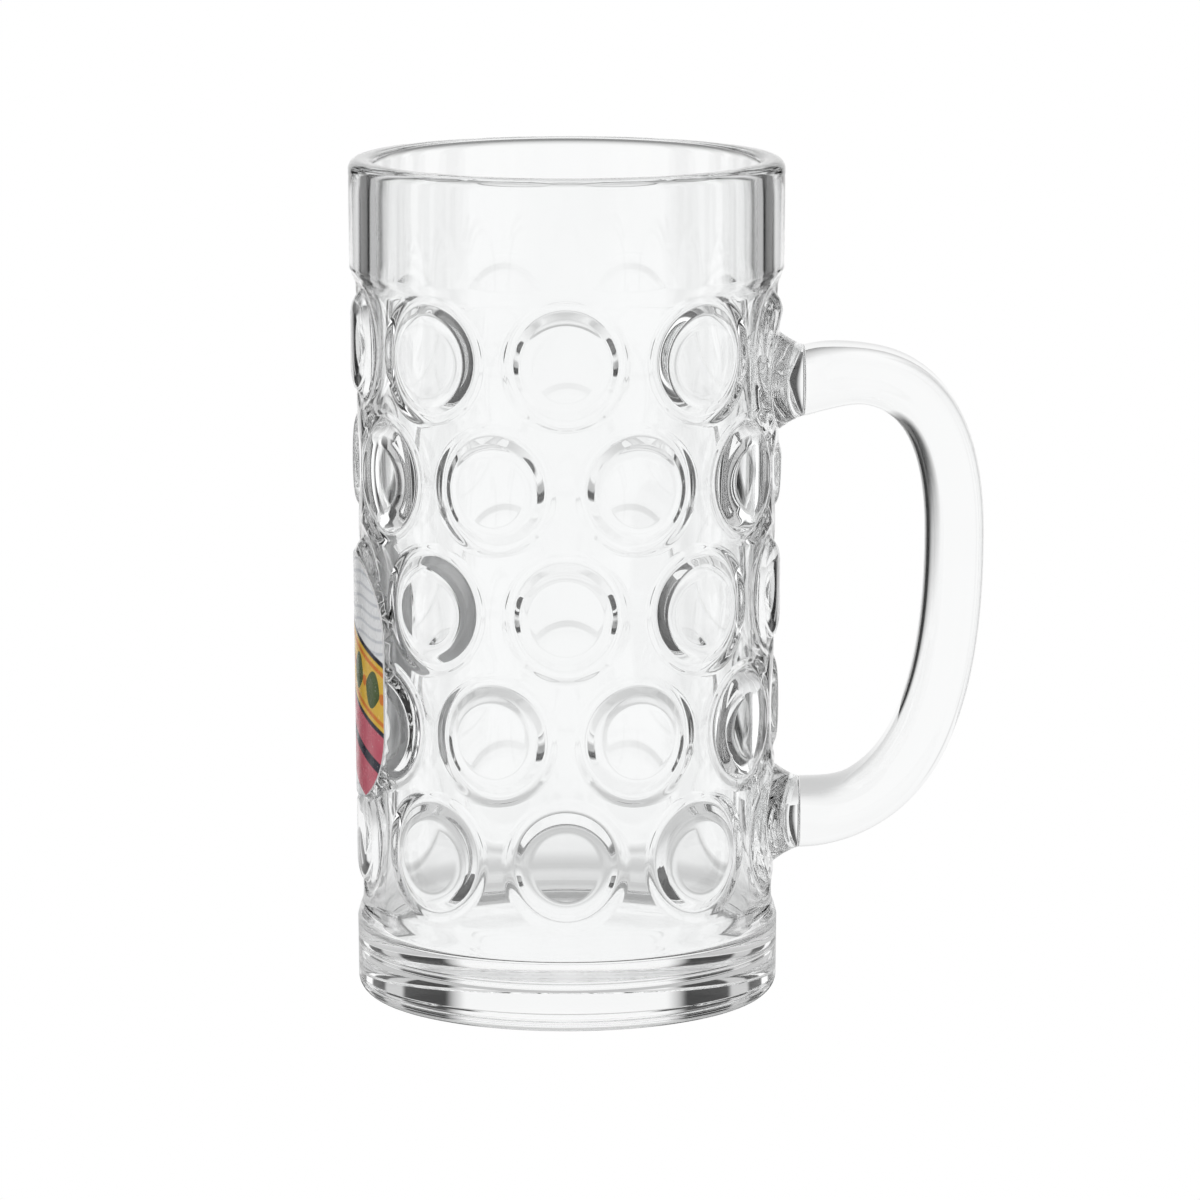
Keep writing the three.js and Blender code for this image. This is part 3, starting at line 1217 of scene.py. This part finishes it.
@dataclass(frozen=True)
class PrintedFilm:
    """A glossy film printed with slanting bands: pale waves, gold with leaves, and rose.

    The print is laid out in shares of the film's half width and half height.
    """

    middle: float
    half_width: float
    half_height: float
    radius: float
    name: str = "badge_print"
    slant: float = 0.3
    slant_shift: float = 0.2
    edge: float = 0.008
    gold_half: float = 0.27
    rim: float = 0.045
    leaf_step: float = 0.2
    leaf_length: float = 0.16
    leaf_rise: float = 0.17
    dot: float = 0.05
    rose_low: float = -0.98
    stripe: tuple = (-0.66, -0.56)
    wave_step: float = 0.05
    wave_pace: float = 9.0
    wave_swing: float = 0.02
    wave_line: float = 0.012
    trim: tuple = (0.08, 0.04)
    wear_scale: float = 900.0
    wear_detail: float = 3.0
    wear_range: tuple = (0.62, 0.78)
    wear_share: float = 0.35
    gloss_scale: float = 300.0
    gloss_range: tuple = (0.3, 0.8)
    gloss_rough: tuple = (0.18, 0.34)
    pale: tuple = (0.86, 0.87, 0.88, 1.0)
    wave: tuple = (0.62, 0.64, 0.67, 1.0)
    gold: tuple = (0.8, 0.5, 0.06, 1.0)
    orange: tuple = (0.7, 0.2, 0.02, 1.0)
    green: tuple = (0.07, 0.11, 0.03, 1.0)
    navy: tuple = (0.012, 0.013, 0.03, 1.0)
    rose: tuple = (0.6, 0.12, 0.17, 1.0)
    worn: tuple = (0.9, 0.88, 0.86, 1.0)

    def up_to(self, value: Value, high: float) -> Value:
        """Gives 1 up to a value and 0 above it, with a soft printed edge."""
        return value.ramp(high - self.edge, high + self.edge, 1.0, 0.0)

    def between(self, value: Value, low: float, high: float) -> Value:
        """Gives 1 between two values and 0 outside them, with soft printed edges."""
        return value.ramp(low - self.edge, low + self.edge) * self.up_to(value, high)

    def print_colour(self, graph: Graph) -> Value:
        """Lays the bands and motifs over each other.

        Args:
            graph: The film's graph.

        Returns:
            The printed colour.
        """
        x, y, z = graph.axes(graph.place())
        across = (0 - y).angle_over(0 - x) * (self.radius / self.half_width)
        height = (z - self.middle) / self.half_height
        band = height + across * self.slant - self.slant_shift
        off_band = abs(band)
        gold_half = self.gold_half
        step = (across - height * self.slant).fold(self.leaf_step)
        swell = (height + (across * self.wave_pace).sine() * self.wave_swing).fold(self.wave_step)
        leaf = off_band / self.leaf_rise + (step / self.leaf_length) ** 2
        spot = ((self.leaf_step - step) ** 2 + band ** 2).root()
        layers = (
            (self.up_to(swell, self.wave_line), self.wave),
            (self.between(band, self.rose_low, -gold_half), self.rose),
            (self.between(band, *self.stripe), self.navy),
            (self.up_to(off_band, gold_half + self.rim), self.navy),
            (self.up_to(off_band, gold_half), self.gold),
            (self.between(off_band, *(gold_half - inset for inset in self.trim)), self.orange),
            (self.up_to(leaf, 1.0), self.green),
            (self.up_to(spot, self.dot), self.orange),
        )
        colour = self.pale
        for mask, ink in layers:
            colour = graph.mix(mask, colour, ink)
        return colour

    def make(self) -> bpy.types.Material:
        """Builds the material.

        Returns:
            The new material.
        """
        material, graph = new_graph(self.name)
        wear = graph.noise(self.wear_scale, self.wear_detail).ramp(*self.wear_range)
        shader = graph.node("ShaderNodeBsdfPrincipled", {}, {
            "Base Color": graph.mix(wear * self.wear_share, self.print_colour(graph), self.worn),
            "Roughness": graph.noise(self.gloss_scale).ramp(*self.gloss_range, *self.gloss_rough),
        })
        graph.surface(shader)
        return material


@dataclass(frozen=True)
class WhiteBacking:
    """The white ink behind a printed film."""

    name: str = "badge_backing"
    thick: tuple = (0.95, 0.95, 0.95, 1.0)
    thin: tuple = (0.86, 0.86, 0.87, 1.0)
    ink_scale: float = 400.0
    gloss_scale: float = 300.0
    gloss_range: tuple = (0.3, 0.8)
    gloss_rough: tuple = (0.4, 0.6)

    def make(self) -> bpy.types.Material:
        """Builds the material.

        Returns:
            The new material.
        """
        material, graph = new_graph(self.name)
        shader = graph.node("ShaderNodeBsdfPrincipled", {}, {
            "Base Color": graph.mix(graph.noise(self.ink_scale), self.thick, self.thin),
            "Roughness": graph.noise(self.gloss_scale).ramp(*self.gloss_range, *self.gloss_rough),
        })
        graph.surface(shader)
        return material


@dataclass
class Studio:
    """A white studio: strips of light and dark all round, a pale floor that glows with a painted
    shadow of the mug, and the camera.

    Light levels are tables of a place and a level. In around and low_light the place is in degrees
    to either side of the line of sight, and in floor_glow_and_painted_shadow it is in millimetres
    from the axis.
    The tables low and overhead give the share that the lower and the overhead light take, by
    degrees above the horizon.
    """

    around: tuple = (
        (0, 0.98), (20, 0.97), (23, 0.5), (25, 0.02), (39, 0.02), (41, 0.6), (49, 0.6),
        (51, 0.02), (60, 0.02), (62, 1.3), (68, 1.3), (70, 0.02), (80, 0.02), (82, 1.0),
        (98, 1.0), (100, 0.02), (113, 0.02), (115, 0.98), (150, 0.95), (160, 0.85), (180, 0.85),
    )
    low: tuple = ((-34, 1), (-26, 0.43), (-18, 0.03), (-12, 0))
    low_light: tuple = ((28, 0.22), (40, 0.8))
    overhead: tuple = ((45, 0), (60, 1))
    overhead_light: float = 1.1
    floor_radius: float = 240.0 * MM
    floor_drop: float = 0.5 * MM
    floor_vertices: int = 96
    # Painted shadow of the mug on the glowing floor: dark round the foot ring, dimmer out to about
    # 170 mm from the axis.
    floor_glow_and_painted_shadow: tuple = (
        (0, 0.97), (43, 0.97), (45, 0.1), (51, 0.1), (57, 0.7), (80, 0.55), (115, 0.6),
        (145, 0.78), (170, 0.88), (200, 0.93), (240, 0.95),
    )
    camera_place: tuple = (7.83 * MM, -1590.0 * MM, 363.5 * MM)
    camera_pitch: float = 9.61
    focal_pixels: float = 6782.0
    image_pixels: float = 1200.0
    sensor: float = 36.0
    clip_end: float = 100.0
    bounces: int = 32
    glossy_bounces: int = 16

    def build_world(self) -> None:
        """Builds the light all round."""
        world = bpy.data.worlds.new("studio")
        bpy.context.scene.world = world
        world.use_nodes = True
        graph = Graph(world.node_tree)
        x, y, z = graph.axes(graph.node("ShaderNodeTexCoord", output="Generated"))
        side = abs(x.angle_over(y)) * DEGREES
        rise = z.angle_from_level() * DEGREES
        low = graph.table(rise, self.low, *RISE_RANGE)
        level = graph.table(side, self.around, *SIDE_RANGE) * (1 - low)
        level = level + graph.table(side, self.low_light, *SIDE_RANGE) * low
        top = graph.table(rise, self.overhead, *RISE_RANGE)
        level = level * (1 - top) + top * self.overhead_light
        sockets = {"Color": WHITE, "Strength": graph.white_when_seen(level)}
        background = graph.node("ShaderNodeBackground", {}, sockets)
        graph.node("ShaderNodeOutputWorld", {}, {"Surface": background})

    def build_floor(self) -> None:
        """Builds the pale floor, lit from within like a light table, with a painted shadow of the mug
        round its foot that only reflected and bent light sees.
        """
        deselect_all()
        bpy.ops.mesh.primitive_circle_add(
            vertices=self.floor_vertices, radius=self.floor_radius, fill_type="NGON",
        )
        floor = bpy.context.object
        floor.name = "floor"
        floor.location.z = -self.floor_drop
        material, graph = new_graph("floor_glow_painted_shadow")
        x, y, _ = graph.axes(graph.place())
        away = (x * x + y * y).root() / MM
        # The glow carries a painted shadow of the mug; the camera sees the floor white, the glass
        # shows the shadow.
        level = graph.table(away, self.floor_glow_and_painted_shadow, 0, self.floor_radius / MM)
        sockets = {"Color": WHITE, "Strength": graph.white_when_seen(level)}
        graph.surface(graph.node("ShaderNodeEmission", {}, sockets))
        give_materials(floor, material)

    def build_camera(self) -> None:
        """Places the camera where the photograph was taken."""
        lens = bpy.data.cameras.new("camera")
        lens.sensor_width = self.sensor
        lens.lens = self.focal_pixels / self.image_pixels * self.sensor
        lens.clip_end = self.clip_end
        camera = bpy.data.objects.new("camera", lens)
        bpy.context.scene.collection.objects.link(camera)
        camera.location = self.camera_place
        camera.rotation_euler = (math.radians(90 - self.camera_pitch), 0, 0)
        bpy.context.scene.camera = camera

    def set_light_paths(self) -> None:
        """Lets light pass through many clear walls."""
        scene = bpy.context.scene
        scene.view_settings.view_transform = "Standard"
        scene.cycles.max_bounces = self.bounces
        scene.cycles.transmission_bounces = self.bounces
        scene.cycles.glossy_bounces = self.glossy_bounces
        scene.cycles.transparent_max_bounces = self.bounces

    def build(self) -> None:
        """Builds the studio."""
        self.build_world()
        self.build_floor()
        self.build_camera()
        self.set_light_paths()


def main() -> None:
    """Builds the mug piece by piece, then the studio around it."""
    logging.basicConfig(level=logging.INFO)
    barrel_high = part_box("barrel")[1]
    base_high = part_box("base")[1]
    envelope = Envelope(height=barrel_high.z, rim_radius=barrel_high.y)
    plastic = ClearPlastic("plastic_clear").make()
    weld = ClearWeld().make()
    base = Base(envelope, SEAM_HEIGHT, base_high.z)
    barrel = Barrel(envelope, Relief(), SEAM_HEIGHT, base.weld_top())
    barrel.dress(barrel.build(), plastic, weld)
    base.dress(base.build(), plastic, weld)
    handle = Handle(
        upper_face=barrel.face(Root.UPPER) + barrel.root_gap,
        lower_face=barrel.face(Root.LOWER) + barrel.root_gap,
        end_half_height=barrel.root_half_height,
        end_half_width=barrel.root_half_width,
    )
    handle.dress(handle.build(), plastic)
    badge_low, badge_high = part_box("badge")
    badge = Badge(envelope, (badge_low.z + badge_high.z) / 2)
    radius = envelope.outside(badge.middle)
    film = PrintedFilm(badge.middle, badge.half_width, badge.half_height, radius)
    badge.dress(badge.build(), film.make(), WhiteBacking().make())
    Studio().build()


if __name__ == "__main__":
    main()
